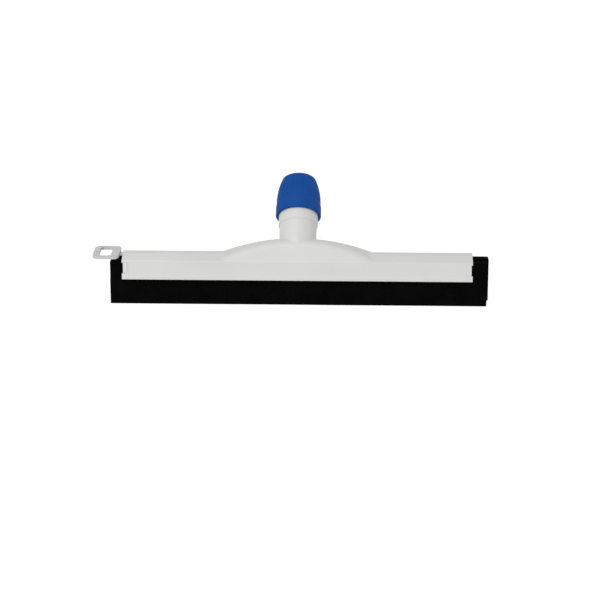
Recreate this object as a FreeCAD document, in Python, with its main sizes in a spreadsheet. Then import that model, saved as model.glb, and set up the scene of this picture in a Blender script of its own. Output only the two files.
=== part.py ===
"""Floor squeegee head: a white channel moulding with a sloping, screw-clamped handle socket and a
slide-in cassette of two foam rubber blades.

Millimetres. +X runs along the blades, away from the pull ring. +Y is the side the socket leans to.
+Z is up. The origin is the middle of the line on the floor midway between the two blades, under
the socket.
"""
import FreeCAD, Part
import math
import os
import re

import Sketcher
from FreeCAD import Placement, Rotation, Vector

DIMENSIONS = {
    # frame channel
    "frame_length": 325.0,
    "frame_half_width": 16.5,
    "wall_thickness": 1.6,
    "lip_bottom": 24.5,
    "bead_half_width": 17.2,
    "bead_height": 2.6,
    "bead_bevel": 2.8,
    "face_top": 42.9,
    "frame_top": 46.5,
    "top_half_width": 4.4,
    "ceiling_height": 43.1,
    "ceiling_half_width": 9.9,
    "eave_height": 40.9,
    "ledge_top": 28.0,
    "ledge_bottom": 26.0,
    "ledge_half_gap": 12.5,
    "relief_depth": 1.1,
    "relief_bottom": 30.0,
    "relief_top": 40.5,
    "band_width": 5.5,
    "band_height": 0.35,
    # hump
    "hump_top": 59.7,
    "hump_radius": 168.0,
    "hump_half_length": 80.0,
    "crest_half_width": 6.5,
    "crest_fillet": 8.0,
    "shoulder_inset": 0.9,
    "shoulder_drop": 1.0,
    "core_half_width": 5.5,
    "core_inner": 21.0,
    "core_outer": 58.0,
    "core_wall": 2.4,
    "core_rib": 2.0,
    # socket, measured along its own axis from where that axis meets the middle plane
    "socket_height": 41.1,
    "socket_tilt": 45.0,
    "neck_start": 6.2,
    "neck_ease": 0.5,
    "neck_ease_length": 6.0,
    "neck_radius": 17.4,
    "ring_start": 33.7,
    "ring_radius": 18.4,
    "ring_end": 53.1,
    "tip_end": 71.1,
    "tip_radius": 15.7,
    "handle_radius": 12.0,
    "handle_gap": 0.4,
    "bore_bottom": 21.1,
    "seat_bottom": 53.1,
    "seat_radius_low": 13.2,
    "seat_radius_high": 14.0,
    # screw thread
    "thread_pitch": 4.0,
    "thread_depth": 1.2,
    "thread_root": 2.2,
    "thread_crest": 1.0,
    "thread_gap": 0.3,
    "thread_start": 56.1,
    "thread_length": 12.0,
    # lock collar
    "collar_start": 44.4,
    "collar_end": 84.1,
    "collar_band_radius": 21.3,
    "collar_band_end": 54.1,
    "collar_radius": 20.8,
    "collar_neck_step": 56.1,
    "collar_taper_start": 58.1,
    "collar_taper_radius": 67.6,
    "collar_nose_radius": 15.6,
    "collar_mouth_depth": 10.2,
    "collar_mouth_gap": 0.35,
    "collar_catch_start": 71.5,
    "collar_catch_radius": 14.3,
    "collar_nose_fillet": 2.4,
    "collar_nose_bore": 12.8,
    "collar_lip": 3.0,
    "flute_count": 24,
    "flute_radius": 2.5,
    "flute_depth": 0.35,
    # split collet
    "collet_bottom": 56.1,
    "collet_gap": 0.2,
    "collet_flange_radius": 14.9,
    "collet_flange_bottom": 73.1,
    "slit_width": 2.0,
    "slit_top": 76.1,
    # foam blades
    "blade_length": 350.0,
    "blade_height": 41.2,
    "blade_inner": 4.0,
    "blade_outer": 14.0,
    "blade_step": 24.8,
    "front_blade_shift": 1.0,
    "rear_blade_shift": 3.3,
    # clamp strips and rivets
    "strip_length": 316.0,
    "strip_inner": 12.0,
    "strip_outer": 13.4,
    "strip_bottom": 28.3,
    "strip_top": 37.2,
    "rivet_height": 33.0,
    "rivet_radius": 1.5,
    "rivet_hole_radius": 1.6,
    "rivet_head_radius": 2.6,
    "rivet_head_height": 0.8,
    "rivet_spacing": 70.0,
    "rivet_count": 5,
    # blade carrier
    "plate_half_width": 9.5,
    "plate_bottom": 41.2,
    "plate_top": 42.8,
    "web_thickness": 1.6,
    "web_bottom": 27.0,
    "tongue_half_width": 4.0,
    "tongue_length": 9.0,
    "tongue_bottom": 43.6,
    "tongue_overlap": 3.0,
    "tongue_top": 45.0,
    "slot_gap": 0.3,
    "pull_start": 165.5,
    "pull_end": 189.9,
    "pull_half_width": 17.9,
    "pull_bottom": 44.1,
    "pull_top": 46.8,
    "pull_hole_start": 172.9,
    "pull_hole_end": 184.4,
    "pull_hole_half_width": 13.9,
    "pull_corner": 6.5,
    "pull_hole_corner": 3.5,
}

X_AXIS = Vector(1, 0, 0)
Z_AXIS = Vector(0, 0, 1)


def linked(text):
    """Point every dimension name in an expression at its cell; all of them hold an underscore."""
    return re.sub(r"[a-z]+(_[a-z]+)+", lambda word: "dims." + word.group(), text)


def mirrored(half):
    """Close a half outline, given on the right from one end to the other, with its mirror image."""
    return half + [(f"-({across})", up) for across, up in reversed(half)]


def rectangle(left, right, bottom, top):
    return [(left, bottom), (right, bottom), (right, top), (left, top)]


def new_document():
    document = FreeCAD.newDocument("squeegee_head")
    sheet = document.addObject("Spreadsheet::Sheet", "dims")
    for row, (alias, number) in enumerate(DIMENSIONS.items(), start=1):
        sheet.set(f"A{row}", alias)
        sheet.set(f"B{row}", str(number))
        sheet.setAlias(f"B{row}", alias)
    document.recompute()
    return document


def new_body(document, label):
    body = document.addObject("PartDesign::Body", label)
    body.Label = label
    return body


def new_sketch(body, name, plane, shift=("0", "0", "0"), turn="0"):
    """A sketch on one of the body's origin planes, shifted in and off that plane and turned in it."""
    sketch = body.newObject("Sketcher::SketchObject", name)
    support = next(item for item in body.Origin.OriginFeatures if item.Role == plane)
    sketch.AttachmentSupport = [(support, "")]
    sketch.MapMode = "FlatFace"
    sketch.AttachmentOffset = Placement(Vector(), Rotation(Z_AXIS, 1))
    sketch.setExpression("AttachmentOffset.Rotation.Angle", linked(turn))
    for letter, distance in zip("xyz", shift):
        sketch.setExpression(f"AttachmentOffset.Base.{letter}", linked(distance))
    return sketch


def tie_point(sketch, geometry, end, across, up):
    """Fix one point of a sketch by its two distances from the sketch's origin."""
    for kind, distance in (("DistanceX", across), ("DistanceY", up)):
        index = sketch.addConstraint(Sketcher.Constraint(kind, -1, 1, geometry, end, 1.0))
        sketch.setExpression(f"Constraints[{index}]", linked(distance))


def add_outline(sketch, corners, arc=None, arc_radius="0"):
    """Add a closed outline. Its corners start on a small circle, and their expressions place them.

    Its sides are straight, but for the one numbered arc, which bulges out with the arc's radius.
    """
    first = sketch.GeometryCount
    count = len(corners)
    circle = Part.Circle(Vector(), Z_AXIS, 1)
    turns = [2 * math.pi * step / count for step in range(count + 1)]
    for step in range(count):
        start, end = turns[step], turns[step + 1]
        if step == arc:
            sketch.addGeometry(Part.ArcOfCircle(circle, start, end), False)
        else:
            sketch.addGeometry(Part.LineSegment(circle.value(start), circle.value(end)), False)
    for step in range(count):
        following = first + (step + 1) % count
        sketch.addConstraint(Sketcher.Constraint("Coincident", first + step, 2, following, 1))
    for step, (across, up) in enumerate(corners):
        tie_point(sketch, first + step, 1, across, up)
    if arc is not None:
        index = sketch.addConstraint(Sketcher.Constraint("Radius", first + arc, 1.0))
        sketch.setExpression(f"Constraints[{index}]", linked(arc_radius))
    return sketch


def add_circle(sketch, across, up, radius):
    circle = sketch.addGeometry(Part.Circle(Vector(1, 1, 0), Z_AXIS, 1), False)
    tie_point(sketch, circle, 3, across, up)
    index = sketch.addConstraint(Sketcher.Constraint("Radius", circle, 1.0))
    sketch.setExpression(f"Constraints[{index}]", linked(radius))
    return sketch


def settle(body, feature, cuts=False):
    """Recompute a new feature, and stop if one that should take material away takes none."""
    volume = body.Shape.Volume if cuts else 0.0
    body.Document.recompute()
    if cuts and body.Shape.Volume > volume - 0.1:
        raise RuntimeError(f"{feature.Name} cuts nothing")
    return feature


def pad(body, name, sketch, length, sides="Symmetric"):
    feature = body.newObject("PartDesign::Pad", name)
    feature.Profile = sketch
    feature.SideType = sides
    feature.setExpression("Length", linked(length))
    return settle(body, feature)


def pocket(body, name, sketch, length):
    feature = body.newObject("PartDesign::Pocket", name)
    feature.Profile = sketch
    feature.SideType = "Symmetric"
    feature.setExpression("Length", linked(length))
    return settle(body, feature, cuts=True)


def turn_profile(body, kind, name, sketch, axis="V_Axis"):
    """Revolve a sketch a full turn about one of its own axes, to add (Revolution) or cut (Groove)."""
    feature = body.newObject(f"PartDesign::{kind}", name)
    feature.Profile = sketch
    feature.ReferenceAxis = (sketch, [axis])
    feature.Angle = 360
    return settle(body, feature, cuts=kind == "Groove")


def helix(body, kind, name, sketch, height):
    """Run a sketch along a right-handed helix about its vertical axis."""
    feature = body.newObject(f"PartDesign::{kind}", name)
    feature.Profile = sketch
    feature.ReferenceAxis = (sketch, ["V_Axis"])
    feature.Mode = "pitch-height-angle"
    feature.setExpression("Pitch", linked("thread_pitch"))
    feature.setExpression("Height", linked(height))
    feature.Refine = False
    return settle(body, feature, cuts=kind == "SubtractiveHelix")


def fillet(body, name, radius, wanted):
    """Round the edges of the body's present shape that the test picks out."""
    base = body.Tip
    edges = [f"Edge{number}" for number, edge in enumerate(base.Shape.Edges, start=1) if wanted(edge)]
    if not edges:
        raise RuntimeError(f"{name} finds no edge")
    feature = body.newObject("PartDesign::Fillet", name)
    feature.Base = (base, edges)
    feature.setExpression("Radius", linked(radius))
    return settle(body, feature)


def socket_sketch(body, name):
    """A sketch in the frame's middle plane whose vertical axis is the socket's axis."""
    return new_sketch(body, name, "YZ_Plane", ("0", "socket_height", "0"), "-socket_tilt")


def place_on_socket(body):
    """Stand a body's own Z axis along the socket."""
    body.Placement = Placement(Vector(), Rotation(X_AXIS, -1))
    body.setExpression("Placement.Base.z", linked("socket_height"))
    body.setExpression("Placement.Rotation.Angle", linked("socket_tilt"))
    body.Placement.Rotation.Axis = -X_AXIS


def thread_profile(sketch, root_radius, depth, gap, start):
    """One tooth of the thread, or of the groove that clears it by the gap."""
    half_root = f"(thread_root / 2 + {gap})"
    half_crest = f"(thread_crest / 2 + {gap})"
    root = f"{root_radius} - 0.4"
    crest = f"{root_radius} + {depth}"
    corners = [
        (root, f"{start} - {half_root}"),
        (crest, f"{start} - {half_crest}"),
        (crest, f"{start} + {half_crest}"),
        (root, f"{start} + {half_root}"),
    ]
    return add_outline(sketch, corners)


# ---------------------------------------------------------------- frame


def hump(body):
    """A ridge with sloping sides, trimmed along its length by one large arc."""
    base = "frame_half_width - shoulder_inset"
    sides = mirrored([(base, "face_top - 3"), (base, "face_top"), ("crest_half_width", "hump_top + 2")])
    ridge = add_outline(new_sketch(body, "ridge_sketch", "YZ_Plane"), sides)
    pad(body, "ridge", ridge, "2 * hump_half_length")
    trim = new_sketch(body, "arc_sketch", "XZ_Plane")
    reach = "hump_radius + 20"
    middle = "hump_top - hump_radius"
    add_outline(trim, rectangle(f"-({reach})", reach, f"{middle} - ({reach})", f"{middle} + {reach}"))
    add_circle(trim, "0", middle, "hump_radius")
    pocket(body, "arc_trim", trim, "4 * frame_half_width")
    fillet(body, "crest_round", "crest_fillet", is_crest)


def is_crest(edge):
    """True for the two curved edges between the hump's back and its sides."""
    straight = isinstance(edge.Curve, (Part.Line, Part.LineSegment))
    return not straight and edge.Length > DIMENSIONS["hump_half_length"]


def channel(body):
    """The straight body of the frame, with a bead along each lower lip and a band at each end."""
    bead_top = "lip_bottom + bead_height"
    half = [
        ("bead_half_width - 0.5", "lip_bottom"),
        ("bead_half_width", "lip_bottom + 0.5"),
        ("bead_half_width", bead_top),
        ("frame_half_width", f"{bead_top} + bead_bevel"),
        ("frame_half_width", "face_top - shoulder_drop"),
        ("frame_half_width - shoulder_inset", "face_top"),
        ("top_half_width", "frame_top"),
    ]
    outline = add_outline(new_sketch(body, "channel_sketch", "YZ_Plane"), mirrored(half))
    pad(body, "channel", outline, "frame_length")
    bands = new_sketch(body, "band_sketch", "XZ_Plane")
    inner = "frame_length / 2 - band_width"
    outer = "frame_length / 2"
    for left, right in ((inner, outer), (f"-({outer})", f"-({inner})")):
        add_outline(bands, rectangle(left, right, f"{bead_top} + bead_bevel + 0.6", "face_top - 2"))
    pad(body, "end_bands", bands, "2 * (frame_half_width + band_height)")


def neck(body):
    """The solid neck, eased out of the hump, with its ring and the narrower tip for the thread."""
    corners = [
        ("0", "neck_start"),
        ("neck_radius - neck_ease", "neck_start"),
        ("neck_radius", "neck_start + neck_ease_length"),
        ("neck_radius", "ring_start - 0.6"),
        ("ring_radius - 0.3", "ring_start"),
        ("ring_radius", "ring_start + 0.4"),
        ("ring_radius", "ring_end - 0.6"),
        ("ring_radius - 0.6", "ring_end"),
        ("tip_radius", "ring_end"),
        ("tip_radius", "tip_end - 0.8"),
        ("tip_radius - 0.8", "tip_end"),
        ("0", "tip_end"),
    ]
    outline = add_outline(socket_sketch(body, "neck_sketch"), corners)
    turn_profile(body, "Revolution", "neck", outline)


def channel_hollow(body):
    """The slot that the cassette slides in, with a ledge on each wall that the clamp strips run on."""
    inner = "frame_half_width - wall_thickness"
    half = [
        (inner, "lip_bottom - 5"),
        (inner, "ledge_bottom - 0.8"),
        ("ledge_half_gap", "ledge_bottom"),
        ("ledge_half_gap", "ledge_top"),
        (inner, "ledge_top"),
        (inner, "eave_height"),
        ("ceiling_half_width", "ceiling_height"),
    ]
    outline = add_outline(new_sketch(body, "hollow_sketch", "YZ_Plane"), mirrored(half))
    pocket(body, "channel_hollow", outline, "frame_length + 20")


def hump_cores(body):
    """Three cells each side of the neck, open to the channel, that keep the hump's walls thin."""
    sketch = new_sketch(body, "core_sketch", "XZ_Plane")
    cells = 3
    step = f"(core_outer - core_inner) / {cells}"
    for side in ("", "-"):
        for cell in range(cells):
            near = f"(core_inner + {cell} * {step})"
            far = f"(core_inner + {cell + 1} * {step} - core_rib)"
            arc = "hump_top - hump_radius - core_wall + sqrt(hump_radius ^ 2 - {0} ^ 2)"
            corners = [
                (side + near, "ceiling_height - 1"),
                (side + far, "ceiling_height - 1"),
                (side + far, arc.format(far)),
                (side + near, arc.format(near)),
            ]
            add_outline(sketch, corners)
    pocket(body, "hump_cores", sketch, "2 * core_half_width")


def handle_bore(body):
    """The bore for the handle, which opens into a cone that closes the collet."""
    radius = "handle_radius + handle_gap"
    corners = [
        ("0", "bore_bottom"),
        (radius, "bore_bottom"),
        (radius, "seat_bottom"),
        ("seat_radius_low", "seat_bottom"),
        ("seat_radius_high", "tip_end"),
        ("seat_radius_high", "tip_end + 2"),
        ("0", "tip_end + 2"),
    ]
    outline = add_outline(socket_sketch(body, "bore_sketch"), corners)
    turn_profile(body, "Groove", "handle_bore", outline)


def end_details(body):
    """The shallow relief in both ends of the side walls, and the slot for the carrier's tongue."""
    reliefs = new_sketch(body, "relief_sketch", "XZ_Plane")
    inner = "(frame_length / 2 - relief_depth)"
    outer = "(frame_length / 2 + 5)"
    for left, right in ((inner, outer), ("-" + outer, "-" + inner)):
        add_outline(reliefs, rectangle(left, right, "relief_bottom", "relief_top"))
    pocket(body, "end_reliefs", reliefs, "3 * frame_half_width")
    slot = new_sketch(body, "slot_sketch", "XZ_Plane")
    end = "-(frame_length / 2 - tongue_length - slot_gap)"
    add_outline(slot, rectangle("-" + outer, end, "ceiling_height - 1", "tongue_top + slot_gap"))
    pocket(body, "tongue_slot", slot, "2 * (tongue_half_width + slot_gap)")


def frame_body(document):
    body = new_body(document, "frame_body")
    hump(body)
    channel(body)
    neck(body)
    channel_hollow(body)
    hump_cores(body)
    handle_bore(body)
    end_details(body)
    tooth = thread_profile(socket_sketch(body, "thread_sketch"), "tip_radius", "thread_depth", "0",
                           "thread_start")
    helix(body, "AdditiveHelix", "neck_thread", tooth, "thread_length")
    return body


# ---------------------------------------------------------------- lock collar and collet


def collar_shell(body):
    """The collar's section: mouth over the ring, thread bore, catch for the collet, nose."""
    mouth = "ring_radius + collar_mouth_gap"
    thread_bore = "tip_radius + thread_gap"
    cavity = "collet_flange_radius + collet_gap"
    cavity_bottom = "collet_flange_bottom - collet_gap"
    corners = [
        (mouth, "collar_start"),
        ("collar_band_radius - 0.5", "collar_start"),
        ("collar_band_radius", "collar_start + 0.7"),
        ("collar_band_radius", "collar_band_end"),
        ("collar_radius", "collar_neck_step"),
        ("collar_radius", "collar_taper_start"),
        ("collar_nose_radius", "collar_end"),
        ("collar_nose_bore", "collar_end"),
        ("collar_nose_bore", "collar_end - collar_lip"),
        (cavity, "collar_end - collar_lip"),
        (cavity, cavity_bottom),
        ("collar_catch_radius", cavity_bottom),
        ("collar_catch_radius", "collar_catch_start"),
        (thread_bore, "collar_catch_start"),
        (thread_bore, "collar_start + collar_mouth_depth"),
        (mouth, "collar_start + collar_mouth_depth"),
    ]
    taper = corners.index(("collar_radius", "collar_taper_start"))
    sketch = new_sketch(body, "shell_sketch", "YZ_Plane")
    outline = add_outline(sketch, corners, taper, "collar_taper_radius")
    turn_profile(body, "Revolution", "shell", outline)


def round_edge(radius, height):
    """A test for the circular edge of this radius at this height on the body's own Z axis."""
    def wanted(edge):
        is_round = hasattr(edge.Curve, "Radius") and abs(edge.Curve.Radius - radius) < 0.01
        return is_round and abs(edge.CenterOfMass.z - height) < 0.01
    return wanted


def collar_flutes(body):
    """Grip flutes that follow the collar's taper, as one ruled cut repeated round it."""
    steps = 5
    sections = []
    for step in range(steps + 1):
        rise = f"(collar_end + 0.5 - collar_taper_start) * {step} / {steps}"
        fall = f"(collar_taper_radius - sqrt(collar_taper_radius ^ 2 - ({rise}) ^ 2))"
        height = f"collar_taper_start + {rise}"
        sketch = new_sketch(body, f"flute_sketch_{step}", "XY_Plane", ("0", "0", height))
        add_circle(sketch, f"collar_radius - {fall} - flute_depth + flute_radius", "0", "flute_radius")
        sections.append(sketch)
    flute = body.newObject("PartDesign::SubtractiveLoft", "flute")
    flute.Profile = sections[0]
    flute.Sections = sections[1:]
    flute.Ruled = True
    flute.Refine = False
    settle(body, flute, cuts=True)
    ring = body.newObject("PartDesign::PolarPattern", "flutes")
    ring.Originals = [flute]
    ring.Axis = (sections[0], ["N_Axis"])
    ring.Angle = 360
    ring.Refine = False
    ring.setExpression("Occurrences", linked("flute_count"))
    body.Tip = ring
    settle(body, ring, cuts=True)


def lock_collar(document):
    body = new_body(document, "lock_collar")
    collar_shell(body)
    fillet(body, "nose_round", "collar_nose_fillet",
           round_edge(DIMENSIONS["collar_nose_radius"], DIMENSIONS["collar_end"]))
    collar_flutes(body)
    tooth = thread_profile(new_sketch(body, "groove_sketch", "YZ_Plane"), "tip_radius",
                           "thread_depth + thread_gap", "thread_gap", "thread_start - thread_pitch")
    helix(body, "SubtractiveHelix", "collar_thread", tooth, "thread_length + thread_pitch + 1")
    place_on_socket(body)
    return body


def split_collet(document):
    """A slotted sleeve: its lower half is wedged in by the neck, its flange is held by the collar."""
    body = new_body(document, "split_collet")
    flange_top = "collar_end - collar_lip - collet_gap"
    corners = [
        ("handle_radius", "collet_bottom"),
        ("seat_radius_low - collet_gap", "collet_bottom"),
        ("seat_radius_high - collet_gap", "tip_end"),
        ("seat_radius_high - collet_gap", "collet_flange_bottom"),
        ("collet_flange_radius", "collet_flange_bottom"),
        ("collet_flange_radius", flange_top),
        ("handle_radius + 0.5", flange_top),
        ("handle_radius", f"{flange_top} - 0.5"),
    ]
    outline = add_outline(new_sketch(body, "sleeve_sketch", "YZ_Plane"), corners)
    turn_profile(body, "Revolution", "sleeve", outline)
    for plane in ("YZ_Plane", "XZ_Plane"):
        slit = new_sketch(body, f"slit_sketch_{plane}", plane)
        add_outline(slit, rectangle("-slit_width / 2", "slit_width / 2", "collet_bottom - 1", "slit_top"))
        pocket(body, f"slit_{plane}", slit, "4 * handle_radius")
    place_on_socket(body)
    return body


# ---------------------------------------------------------------- blade cassette


def rivet_places(shift="0"):
    count = DIMENSIONS["rivet_count"]
    return [f"rivet_spacing * ({number} - {(count - 1) / 2}) - ({shift})" for number in range(count)]


def drill_rivet_holes(body, shift="0"):
    sketch = new_sketch(body, "rivet_hole_sketch", "XZ_Plane")
    for place in rivet_places(shift):
        add_circle(sketch, place, "rivet_height", "rivet_hole_radius")
    pocket(body, "rivet_holes", sketch, "4 * blade_outer")


def blade_carrier(document):
    """The cassette's plate and webs, and the ring that pulls it out and hangs the tool up."""
    body = new_body(document, "blade_carrier")
    plate = new_sketch(body, "plate_sketch", "YZ_Plane")
    add_outline(plate, rectangle("-plate_half_width", "plate_half_width", "plate_bottom", "plate_top"))
    pad(body, "plate", plate, "frame_length - 1")
    webs = new_sketch(body, "web_sketch", "YZ_Plane")
    web_inner = "(blade_inner - web_thickness)"
    for left, right in ((web_inner, "blade_inner"), ("-blade_inner", "-" + web_inner)):
        add_outline(webs, rectangle(left, right, "web_bottom", "plate_bottom + 0.5"))
    pad(body, "webs", webs, "strip_length")
    drill_rivet_holes(body)
    tongue = new_sketch(body, "tongue_sketch", "XZ_Plane")
    inner_end = "-(frame_length / 2 - tongue_length)"
    step = "-(frame_length / 2 - 1)"
    corners = [
        ("-(pull_start + tongue_overlap)", "tongue_bottom"),
        (step, "tongue_bottom"),
        (step, "plate_top - 0.5"),
        (inner_end, "plate_top - 0.5"),
        (inner_end, "tongue_top"),
        ("-(pull_start + tongue_overlap)", "tongue_top"),
    ]
    add_outline(tongue, corners)
    pad(body, "tongue", tongue, "2 * tongue_half_width")
    pull_ring(body)
    return body


def pull_ring(body):
    sketch = new_sketch(body, "ring_sketch", "XY_Plane", ("0", "0", "pull_bottom"))
    add_outline(sketch, rectangle("-pull_end", "-pull_start", "-pull_half_width", "pull_half_width"))
    hole = rectangle("-pull_hole_end", "-pull_hole_start", "-pull_hole_half_width", "pull_hole_half_width")
    add_outline(sketch, hole)
    pad(body, "pull_ring", sketch, "pull_top - pull_bottom", sides="One side")

    def upright_at(end, half_width):
        def wanted(edge):
            along = edge.BoundBox
            middle = edge.CenterOfMass
            upright = along.XLength < 0.01 and along.YLength < 0.01 and along.ZLength > 2
            return upright and abs(middle.x + end) < 0.01 and abs(abs(middle.y) - half_width) < 0.01
        return wanted

    for name, radius, ends, half_width in (
        ("ring_corners", "pull_corner", ("pull_end", "pull_start"), "pull_half_width"),
        ("hole_corners", "pull_hole_corner", ("pull_hole_end", "pull_hole_start"), "pull_hole_half_width"),
    ):
        tests = [upright_at(DIMENSIONS[end], DIMENSIONS[half_width]) for end in ends]
        fillet(body, name, radius, lambda edge, tests=tests: any(test(edge) for test in tests))


def place_cassette_side(body, side, shift):
    """The front half of the cassette stays as drawn; the rear half is turned half round."""
    body.Placement = Placement(Vector(), Rotation(Z_AXIS, 0 if side == "front" else 180))
    body.setExpression("Placement.Base.x", linked(shift))


def foam_blade(document, side):
    """One foam rubber blade, drawn in front of the middle plane and thinner where it is clamped."""
    body = new_body(document, f"{side}_foam_blade")
    shift = f"{side}_blade_shift"
    corners = [
        ("-blade_outer", "0"),
        ("-blade_inner", "0"),
        ("-blade_inner", "blade_height"),
        ("-strip_inner", "blade_height"),
        ("-strip_inner", "blade_step"),
        ("-blade_outer", "blade_step"),
    ]
    section = add_outline(new_sketch(body, "blade_sketch", "YZ_Plane"), corners)
    pad(body, "blade", section, "blade_length")
    drill_rivet_holes(body, shift if side == "front" else f"-{shift}")
    place_cassette_side(body, side, shift)
    return body


def clamp_strip(document, side):
    """A flat strip that presses one blade against the carrier's web."""
    body = new_body(document, f"{side}_clamp_strip")
    sketch = new_sketch(body, "strip_sketch", "XZ_Plane", ("0", "0", "strip_inner"))
    add_outline(sketch, rectangle("-strip_length / 2", "strip_length / 2", "strip_bottom", "strip_top"))
    for place in rivet_places():
        add_circle(sketch, place, "rivet_height", "rivet_hole_radius")
    pad(body, "strip", sketch, "strip_outer - strip_inner", sides="One side")
    place_cassette_side(body, side, "0")
    return body


def blade_rivets(document):
    """Rivets through strip, blade, webs, blade and strip."""
    body = new_body(document, "blade_rivets")
    first = f"-rivet_spacing * {(DIMENSIONS['rivet_count'] - 1) / 2}"
    sketch = new_sketch(body, "rivet_sketch", "YZ_Plane", ("0", "rivet_height", first))
    end = "(strip_outer + rivet_head_height)"
    corners = [
        ("-" + end, "0"),
        (end, "0"),
        (end, "rivet_head_radius - 0.7"),
        ("strip_outer", "rivet_head_radius"),
        ("strip_outer", "rivet_radius"),
        ("-strip_outer", "rivet_radius"),
        ("-strip_outer", "rivet_head_radius"),
        ("-" + end, "rivet_head_radius - 0.7"),
    ]
    rivet = turn_profile(body, "Revolution", "rivet", add_outline(sketch, corners), axis="H_Axis")
    row = body.newObject("PartDesign::LinearPattern", "rivet_row")
    row.Originals = [rivet]
    row.Direction = (sketch, ["N_Axis"])
    row.Mode = "Spacing"
    row.setExpression("Offset", linked("rivet_spacing"))
    row.setExpression("Occurrences", linked("rivet_count"))
    body.Tip = row
    settle(body, row)
    return body


# ---------------------------------------------------------------- everything


def make_parts(document):
    parts = [frame_body(document), lock_collar(document), split_collet(document), blade_carrier(document)]
    for side in ("front", "rear"):
        parts.append(foam_blade(document, side))
        parts.append(clamp_strip(document, side))
    parts.append(blade_rivets(document))
    document.recompute()
    return parts


def check(document, parts):
    """Stop on any failed object and on any part without a sound shape."""
    for item in document.Objects:
        if "Invalid" in item.State or "Error" in item.State:
            raise RuntimeError(f"{item.Name} failed: {item.State}")
    for part in parts:
        if part.Shape.isNull() or not part.Shape.isValid():
            raise RuntimeError(f"{part.Label} has no valid shape")


def main():
    os.makedirs("parts", exist_ok=True)
    document = new_document()
    parts = make_parts(document)
    check(document, parts)
    for part in parts:
        part.Shape.exportStep(f"parts/{part.Label}.step")
        box = part.Shape.BoundBox
        print(f"{part.Label}: {len(part.Shape.Solids)} solid(s), {part.Shape.Volume:.0f} mm3, "
              f"x {box.XMin:.1f} {box.XMax:.1f}, y {box.YMin:.1f} {box.YMax:.1f}, "
              f"z {box.ZMin:.1f} {box.ZMax:.1f}")


main()
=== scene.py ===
"""The looks of a two-blade floor squeegee head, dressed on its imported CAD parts.

Metres, +Z up, the floor at z 0. The blades lie along X and the handle leans back towards +Y.
"""

import math

import bmesh
import bpy
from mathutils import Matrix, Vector, noise


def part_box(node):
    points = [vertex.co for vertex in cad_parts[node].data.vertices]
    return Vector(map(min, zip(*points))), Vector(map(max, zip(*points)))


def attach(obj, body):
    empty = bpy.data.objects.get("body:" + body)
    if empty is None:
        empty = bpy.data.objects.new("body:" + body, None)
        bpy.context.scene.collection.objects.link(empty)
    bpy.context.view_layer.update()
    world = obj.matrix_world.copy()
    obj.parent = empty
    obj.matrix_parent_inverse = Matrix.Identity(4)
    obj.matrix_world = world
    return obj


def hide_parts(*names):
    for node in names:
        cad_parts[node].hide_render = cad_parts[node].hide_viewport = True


MM = 0.001

# Camera: where it stands round the head, and how far under the head's middle it aims.
CAMERA_DISTANCE = 2.0
CAMERA_AZIMUTH = 1.7
CAMERA_ELEVATION = 16.5
HEAD_MIDDLE = 47 * MM
AIM_BELOW = 44.3 * MM
AIM_RIGHT = 2.4 * MM
LENS = 128.9
SENSOR = 36.0

# Studio: one big softbox high on the left, an even pale room, and a floor lit from within like a
# photographer's light table, so that hardly any shadow falls on it.
ROOM_LIGHT = 0.62
FLOOR_RADIUS = 40.0
FLOOR_COLOUR = (0.25, 0.25, 0.25, 1)
FLOOR_MOTTLE = (0.24, 0.24, 0.24, 1)
FLOOR_GLOW = 0.86
SOFTBOX_AZIMUTH = -32
SOFTBOX_ELEVATION = 54
SOFTBOX_DISTANCE = 2.4
SOFTBOX_SIZE = 1.2
SOFTBOX_POWER = 26

# Plastic: texture cells in a metre, and how strongly each shows.
FLOW_CELLS = (9, 45, 45)
BLOTCH_CELLS = 26.0
GRAIN_CELLS = 2600.0
SCUFF_CELLS = (140, 900, 520)
SINK_DEPTH = 0.25 * MM
SCUFF_DEPTH = 0.01 * MM
SCUFF_ROUGHNESS = 0.12
MOULDED_EDGE = 0.45 * MM

# Metal: texture cells in a metre.
STREAK_CELLS = (12, 3500, 3500)
RIVET_CELLS = (900, 900, 900)
PATCH_CELLS = 60.0
METAL_EDGE = 0.25 * MM

# Foam rubber: the size and depth of each kind of open cell, and texture cells in a metre.
FOAM_CELLS = ((2.1 * MM, 1.0), (1.1 * MM, 0.7), (0.55 * MM, 0.45))
FOAM_PATCH_CELLS = 55.0
FOAM_PIT_DEPTH = 0.25 * MM

# Foam blades: how round their edges are, how fine their mesh is, and how unevenly they are cut.
FOAM_EDGE_RADIUS = 0.45 * MM
FOAM_CORNER_RADIUS = 1.5 * MM
FOAM_GRID = 1.25 * MM
FOAM_WAVE = 0.25 * MM
FOAM_ROUGHNESS = 0.06 * MM
FOAM_STEP_DROP = 1.2 * MM
FOAM_STEP_LENGTH = 2.0 * MM
SWAY_SCALE = 14
GRAIN_SCALE = 420
GRAIN_SEED = 1


# ---------------------------------------------------------------- node helpers


def add_node(tree, kind, inputs=None, **settings):
    """A shader node with its settings and inputs; an input given as a socket is linked."""
    node = tree.nodes.new("ShaderNode" + kind)
    for name, value in settings.items():
        setattr(node, name, value)
    for name, value in (inputs or {}).items():
        if isinstance(value, bpy.types.NodeSocket):
            tree.links.new(value, node.inputs[name])
        else:
            node.inputs[name].default_value = value
    return node


def new_material(name, constants):
    """A material, its tree, its Principled node with constants set, and object coordinates."""
    material = bpy.data.materials.new(name)
    material.use_nodes = True
    tree = material.node_tree
    shader = tree.nodes["Principled BSDF"]
    for socket, value in constants.items():
        shader.inputs[socket].default_value = value
    where = add_node(tree, "TexCoord").outputs["Object"]
    return material, tree, shader, where


def stretched(tree, where, scale):
    """Coordinates scaled apart on each axis, so that a texture runs along one of them."""
    return add_node(tree, "Mapping", {"Vector": where, "Scale": scale}).outputs["Vector"]


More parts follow.
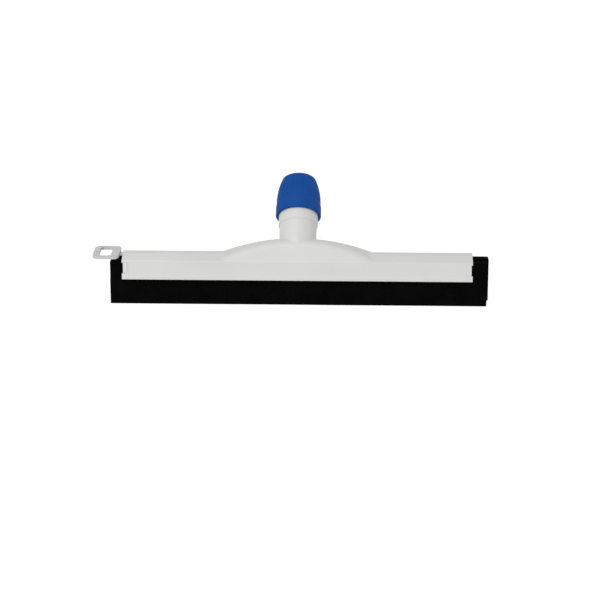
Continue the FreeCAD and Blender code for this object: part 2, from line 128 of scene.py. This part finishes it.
def cloudy(tree, where, scale, detail=4.0):
    """Soft noise from 0 to 1 with that many cells in a metre."""
    inputs = {"Vector": where, "Scale": scale, "Detail": detail}
    return add_node(tree, "TexNoise", inputs).outputs["Fac"]


def spread(tree, value, low, high, to_low, to_high):
    """value's range low to high, taken to another range."""
    inputs = {
        "Value": value,
        "From Min": low,
        "From Max": high,
        "To Min": to_low,
        "To Max": to_high,
    }
    return add_node(tree, "MapRange", inputs).outputs["Result"]


def combine(tree, operation, first, second):
    """Two numbers put together."""
    node = add_node(tree, "Math", operation=operation)
    for socket, value in zip(node.inputs, (first, second)):
        if isinstance(value, bpy.types.NodeSocket):
            tree.links.new(value, socket)
        else:
            socket.default_value = value
    return node.outputs["Value"]


def weighted(tree, first, share, second):
    """A share of the first number, and the rest of the second."""
    much = combine(tree, "MULTIPLY", first, share)
    rest = combine(tree, "MULTIPLY", second, 1 - share)
    return combine(tree, "ADD", much, rest)


def mix_colours(tree, factor, first, second):
    """first where factor is 0 and second where it is 1."""
    node = add_node(tree, "Mix", data_type="RGBA")
    for socket, value in ((node.inputs[0], factor), (node.inputs[6], first), (node.inputs[7], second)):
        if isinstance(value, bpy.types.NodeSocket):
            tree.links.new(value, socket)
        else:
            socket.default_value = value
    return node.outputs[2]


def bumps(tree, height, depth, strength=1.0, under=None):
    """A normal that rises and falls by height times depth, on top of the normal under it."""
    inputs = {"Height": height, "Distance": depth, "Strength": strength}
    if under is not None:
        inputs["Normal"] = under
    return add_node(tree, "Bump", inputs).outputs["Normal"]


def soft_edges(tree, radius):
    """A normal that takes the sharpness off a moulded piece's edges."""
    return add_node(tree, "Bevel", {"Radius": radius}, samples=6).outputs["Normal"]


# ---------------------------------------------------------------- materials


def moulded_plastic(name, light, dark, smooth, rough, specular, grain_depth):
    """Injection-moulded plastic: faint flow marks, a spark-eroded grain, and fine handling scuffs."""
    material, tree, shader, where = new_material(name, {"Specular IOR Level": specular})
    flow = cloudy(tree, stretched(tree, where, FLOW_CELLS), 1.0, 3.0)
    blotches = cloudy(tree, where, BLOTCH_CELLS, 3.0)
    grain = cloudy(tree, where, GRAIN_CELLS, 2.0)
    scuffs = cloudy(tree, stretched(tree, where, SCUFF_CELLS), 1.0, 6.0)
    scuffed = spread(tree, scuffs, 0.58, 0.78, 0.0, 1.0)

    shade = spread(tree, weighted(tree, flow, 0.55, blotches), 0.32, 0.68, 0.0, 1.0)
    tree.links.new(mix_colours(tree, shade, light, dark), shader.inputs["Base Color"])

    clean = spread(tree, blotches, 0.3, 0.7, smooth, rough)
    worn = combine(tree, "MULTIPLY", scuffed, SCUFF_ROUGHNESS)
    tree.links.new(combine(tree, "ADD", clean, worn), shader.inputs["Roughness"])

    sink = bumps(tree, blotches, SINK_DEPTH, 0.5, soft_edges(tree, MOULDED_EDGE))
    surface = bumps(tree, grain, grain_depth, 0.6, sink)
    tree.links.new(bumps(tree, scuffed, SCUFF_DEPTH, 0.4, surface), shader.inputs["Normal"])
    return material


def foam_pits(tree, where):
    """From 0 on the foam's skin to 1 deep in a large open cell, over cells of several sizes."""
    pits = None
    for size, depth in FOAM_CELLS:
        inputs = {"Vector": where, "Scale": 1 / size, "Randomness": 1.0}
        cell = add_node(tree, "TexVoronoi", inputs, feature="F1")
        kind = add_node(tree, "SeparateColor", {"Color": cell.outputs["Color"]}).outputs["Red"]
        opening = spread(tree, kind, 0.45, 1.0, 0.05, 0.5)
        inside = combine(tree, "SUBTRACT", opening, cell.outputs["Distance"])
        pit = spread(tree, inside, 0.0, 0.16, 0.0, depth)
        pits = pit if pits is None else combine(tree, "MAXIMUM", pits, pit)
    return pits


def foam_rubber():
    """Black cellular rubber: open cells of several sizes in a matt skin, with painted shade inside the
    cells.
    """
    material, tree, shader, where = new_material("foam_rubber_cells", {"Specular IOR Level": 0.02})
    wide = cloudy(tree, where, FOAM_PATCH_CELLS, 3.0)
    pits = foam_pits(tree, where)

    patches = spread(tree, wide, 0.35, 0.65, 0.0, 1.0)
    skin = mix_colours(tree, patches, (0.0024, 0.0025, 0.0026, 1), (0.0016, 0.0017, 0.0018, 1))
    # Painted shade: the open cells are coloured darker the deeper they go, as if shade fell into them.
    colour = mix_colours(tree, pits, skin, (0.0005, 0.0005, 0.0005, 1))
    tree.links.new(colour, shader.inputs["Base Color"])
    tree.links.new(spread(tree, wide, 0.3, 0.7, 0.78, 0.95), shader.inputs["Roughness"])
    height = combine(tree, "SUBTRACT", 1.0, pits)
    tree.links.new(bumps(tree, height, FOAM_PIT_DEPTH, 0.8), shader.inputs["Normal"])
    return material


def rolled_metal(name, bright, dull, cells, depth):
    """Mill-finished aluminium: rolling streaks with duller patches."""
    material, tree, shader, where = new_material(name, {"Metallic": 1.0})
    lines = cloudy(tree, stretched(tree, where, cells), 1.0, 5.0)
    patches = cloudy(tree, where, PATCH_CELLS, 3.0)
    shade = spread(tree, weighted(tree, lines, 0.6, patches), 0.3, 0.7, 0.0, 1.0)
    tree.links.new(mix_colours(tree, shade, bright, dull), shader.inputs["Base Color"])
    tree.links.new(spread(tree, lines, 0.25, 0.75, 0.28, 0.46), shader.inputs["Roughness"])
    surface = bumps(tree, lines, depth, 0.5, soft_edges(tree, METAL_EDGE))
    tree.links.new(surface, shader.inputs["Normal"])
    return material


def white_plastic():
    return moulded_plastic(
        "white_polypropylene",
        light=(0.640, 0.640, 0.632, 1),
        dark=(0.605, 0.607, 0.598, 1),
        smooth=0.40,
        rough=0.52,
        specular=0.4,
        grain_depth=0.035 * MM,
    )


def blue_plastic():
    return moulded_plastic(
        "blue_polypropylene",
        light=(0.0085, 0.072, 0.300, 1),
        dark=(0.0070, 0.059, 0.262, 1),
        smooth=0.42,
        rough=0.55,
        specular=0.05,
        grain_depth=0.02 * MM,
    )


def grey_plastic():
    return moulded_plastic(
        "grey_polypropylene",
        light=(0.560, 0.562, 0.560, 1),
        dark=(0.500, 0.502, 0.500, 1),
        smooth=0.38,
        rough=0.50,
        specular=0.4,
        grain_depth=0.03 * MM,
    )


def natural_plastic():
    return moulded_plastic(
        "natural_acetal",
        light=(0.74, 0.74, 0.72, 1),
        dark=(0.68, 0.68, 0.66, 1),
        smooth=0.26,
        rough=0.36,
        specular=0.45,
        grain_depth=0.015 * MM,
    )


def strip_metal():
    return rolled_metal(
        "strip_aluminium",
        bright=(0.80, 0.80, 0.81, 1),
        dull=(0.62, 0.63, 0.64, 1),
        cells=STREAK_CELLS,
        depth=0.01 * MM,
    )


def rivet_metal():
    return rolled_metal(
        "rivet_aluminium",
        bright=(0.78, 0.78, 0.78, 1),
        dull=(0.58, 0.58, 0.59, 1),
        cells=RIVET_CELLS,
        depth=0.02 * MM,
    )


def dress_cad_nodes(nodes):
    """Gives each CAD node that stays its finished material."""
    strip = strip_metal()
    finishes = {
        "frame_body": white_plastic(),
        "lock_collar": blue_plastic(),
        "split_collet": natural_plastic(),
        "blade_carrier": grey_plastic(),
        "front_clamp_strip": strip,
        "rear_clamp_strip": strip,
        "blade_rivets": rivet_metal(),
    }
    for name, finish in finishes.items():
        nodes[name].material_slots[0].material = finish


# ---------------------------------------------------------------- foam blades


def grid_lines(low, high, radius, spacing):
    """Lattice positions from low to high: close together over the rounded edges, even between them."""
    near = [radius * (1 - math.cos(math.radians(turn))) for turn in (0, 38, 62, 90)]
    flat = high - low - 2 * radius
    steps = max(1, round(flat / spacing))
    even = [low + radius + flat * step / steps for step in range(1, steps)]
    return [low + gap for gap in near] + even + [high - gap for gap in reversed(near)]


def block_lattice(lines):
    """A closed bmesh box whose six sides are lattices of quads on the given lines of each axis."""
    mesh = bmesh.new()
    last = [len(line) - 1 for line in lines]
    made = {}

    def corner(place):
        if place not in made:
            made[place] = mesh.verts.new([lines[axis][place[axis]] for axis in range(3)])
        return made[place]

    for axis in range(3):
        second, third = (axis + 1) % 3, (axis + 2) % 3
        for side in (0, last[axis]):
            for step in range(last[second]):
                for row in range(last[third]):
                    loop = []
                    for ahead, up in ((0, 0), (1, 0), (1, 1), (0, 1)):
                        place = [0, 0, 0]
                        place[axis] = side
                        place[second] = step + ahead
                        place[third] = row + up
                        loop.append(corner(tuple(place)))
                    mesh.faces.new(loop if side else reversed(loop))
    return mesh


def rounded_edges(point, low, high, radius):
    """point, pulled in where it lies in a sharp edge of the box."""
    core = Vector(min(max(point[axis], low[axis] + radius), high[axis] - radius) for axis in range(3))
    away = point - core
    if away.length <= radius:
        return point
    return core + away * (radius / away.length)


def rounded_top_corners(point, low, high, radius):
    """point, pulled in where it lies in one of the blade's two upper end corners."""
    core_x = min(max(point.x, low.x + radius), high.x - radius)
    core_z = min(point.z, high.z - radius)
    away = Vector((point.x - core_x, 0, point.z - core_z))
    if away.length <= radius:
        return point
    return Vector((core_x, point.y, core_z)) + away * (radius / away.length)


def eased(value):
    """0 up to 0 and 1 from 1 on, with a soft start and end between them."""
    value = min(max(value, 0.0), 1.0)
    return value * value * (3 - 2 * value)


def cut_unevenly(point, low, high, row):
    """point, set in from the box's sides, then moved by no more than that along noise.

    The blade sways more towards its free edge, and each row of the noise sways differently.
    """
    hang = 1 - point.z / high.z
    room = Vector((FOAM_ROUGHNESS, FOAM_ROUGHNESS + FOAM_WAVE * hang, FOAM_ROUGHNESS))
    middle = (low + high) / 2
    half = (high - low) / 2
    inside = Vector(
        middle[axis] + (point[axis] - middle[axis]) * (1 - room[axis] / half[axis]) for axis in range(3)
    )
    sway = FOAM_WAVE * hang * noise.noise(Vector((point.x * SWAY_SCALE, row, point.z * SWAY_SCALE)))
    grain = noise.noise_vector(point * GRAIN_SCALE) * FOAM_ROUGHNESS
    return inside + Vector((0, sway, 0)) + grain


def foam_blade(name, cad_node, strip, lip_height):
    """One foam blade: full below the frame, and pinched by its clamp strip inside it."""
    low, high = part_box(cad_node)
    strip_low, strip_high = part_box(strip)
    inner = low.y if high.y > 0 else high.y
    outer = high.y if high.y > 0 else low.y
    clamped = strip_low.y if high.y > 0 else strip_high.y
    clamped_share = (clamped - inner) / (outer - inner)

    lines = [grid_lines(low[axis], high[axis], FOAM_EDGE_RADIUS, FOAM_GRID) for axis in range(3)]
    mesh = block_lattice(lines)
    for vert in mesh.verts:
        point = rounded_edges(vert.co, low, high, FOAM_EDGE_RADIUS)
        point = rounded_top_corners(point, low, high, FOAM_CORNER_RADIUS)
        pinch = eased((point.z - lip_height + FOAM_STEP_DROP) / FOAM_STEP_LENGTH)
        point.y = inner + (point.y - inner) * (1 - pinch * (1 - clamped_share))
        vert.co = cut_unevenly(point, low, high, outer / MM)
    bmesh.ops.recalc_face_normals(mesh, faces=mesh.faces)
    data = bpy.data.meshes.new(name)
    mesh.to_mesh(data)
    mesh.free()
    data.shade_smooth()
    piece = bpy.data.objects.new(name, data)
    bpy.context.scene.collection.objects.link(piece)
    return piece


def add_foam_blades():
    """The two foam blades, in place of their plain CAD solids."""
    # Without a seed the grain differs from run to run.
    noise.seed_set(GRAIN_SEED)
    rubber = foam_rubber()
    lip_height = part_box("frame_body")[0].z
    for place in ("front", "rear"):
        cad_node = place + "_foam_blade"
        piece = foam_blade(place + "_blade_foam", cad_node, place + "_clamp_strip", lip_height)
        piece.data.materials.append(rubber)
        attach(piece, "cassette")
        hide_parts(cad_node)


# ---------------------------------------------------------------- studio


def add_floor():
    """A wide pale floor that fills the view."""
    constants = {
        "Specular IOR Level": 0.1,
        "Emission Color": (1, 1, 1, 1),
        "Emission Strength": FLOOR_GLOW,
    }
    material, tree, shader, where = new_material("pale_floor", constants)
    mottle = cloudy(tree, where, 6.0, 2.0)
    colour = mix_colours(tree, mottle, FLOOR_COLOUR, FLOOR_MOTTLE)
    tree.links.new(colour, shader.inputs["Base Color"])
    tree.links.new(spread(tree, mottle, 0.0, 1.0, 0.7, 0.8), shader.inputs["Roughness"])
    mesh = bmesh.new()
    bmesh.ops.create_circle(mesh, cap_ends=True, radius=FLOOR_RADIUS, segments=96)
    data = bpy.data.meshes.new("floor")
    mesh.to_mesh(data)
    mesh.free()
    data.materials.append(material)
    floor = bpy.data.objects.new("floor", data)
    bpy.context.scene.collection.objects.link(floor)


def seen_from(azimuth, elevation):
    """The unit vector from the head to that direction. Azimuth 0 is in front, and 90 at +X."""
    turn, rise = math.radians(azimuth), math.radians(elevation)
    return Vector((math.sin(turn) * math.cos(rise), -math.cos(turn) * math.cos(rise), math.sin(rise)))


def add_softbox():
    """A square area light that faces the head."""
    away = seen_from(SOFTBOX_AZIMUTH, SOFTBOX_ELEVATION)
    data = bpy.data.lights.new("softbox", "AREA")
    data.shape = "SQUARE"
    data.size = SOFTBOX_SIZE
    data.energy = SOFTBOX_POWER
    light = bpy.data.objects.new("softbox", data)
    light.location = Vector((0, 0, HEAD_MIDDLE)) + away * SOFTBOX_DISTANCE
    light.rotation_mode = "QUATERNION"
    light.rotation_quaternion = (-away).to_track_quat("-Z", "Y")
    bpy.context.scene.collection.objects.link(light)


def add_room_light():
    """The same pale light from every side."""
    world = bpy.data.worlds.new("studio")
    world.use_nodes = True
    world.node_tree.nodes["Background"].inputs["Color"].default_value = (1, 1, 1, 1)
    world.node_tree.nodes["Background"].inputs["Strength"].default_value = ROOM_LIGHT
    bpy.context.scene.world = world


def add_camera():
    """The camera, at the height and side that the head is seen from."""
    away = seen_from(CAMERA_AZIMUTH, CAMERA_ELEVATION)
    right = Vector((0, 0, 1)).cross(away).normalized()
    up = away.cross(right)
    middle = Vector((0, 0, HEAD_MIDDLE))
    place = middle + away * CAMERA_DISTANCE
    aim = middle - up * AIM_BELOW + right * AIM_RIGHT
    data = bpy.data.cameras.new("camera")
    data.lens = LENS
    data.sensor_width = SENSOR
    camera = bpy.data.objects.new("camera", data)
    camera.location = place
    camera.rotation_mode = "QUATERNION"
    camera.rotation_quaternion = (aim - place).to_track_quat("-Z", "Y")
    bpy.context.scene.collection.objects.link(camera)
    bpy.context.scene.camera = camera


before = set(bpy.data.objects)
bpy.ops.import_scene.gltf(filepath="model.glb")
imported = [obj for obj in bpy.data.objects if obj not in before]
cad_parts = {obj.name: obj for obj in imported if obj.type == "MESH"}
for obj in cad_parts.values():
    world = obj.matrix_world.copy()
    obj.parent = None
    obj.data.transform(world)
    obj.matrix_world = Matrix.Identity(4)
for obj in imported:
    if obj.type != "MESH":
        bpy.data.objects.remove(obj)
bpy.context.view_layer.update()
bpy.context.scene.view_settings.view_transform = "Standard"

dress_cad_nodes(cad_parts)
add_foam_blades()
add_floor()
add_room_light()
add_softbox()
add_camera()
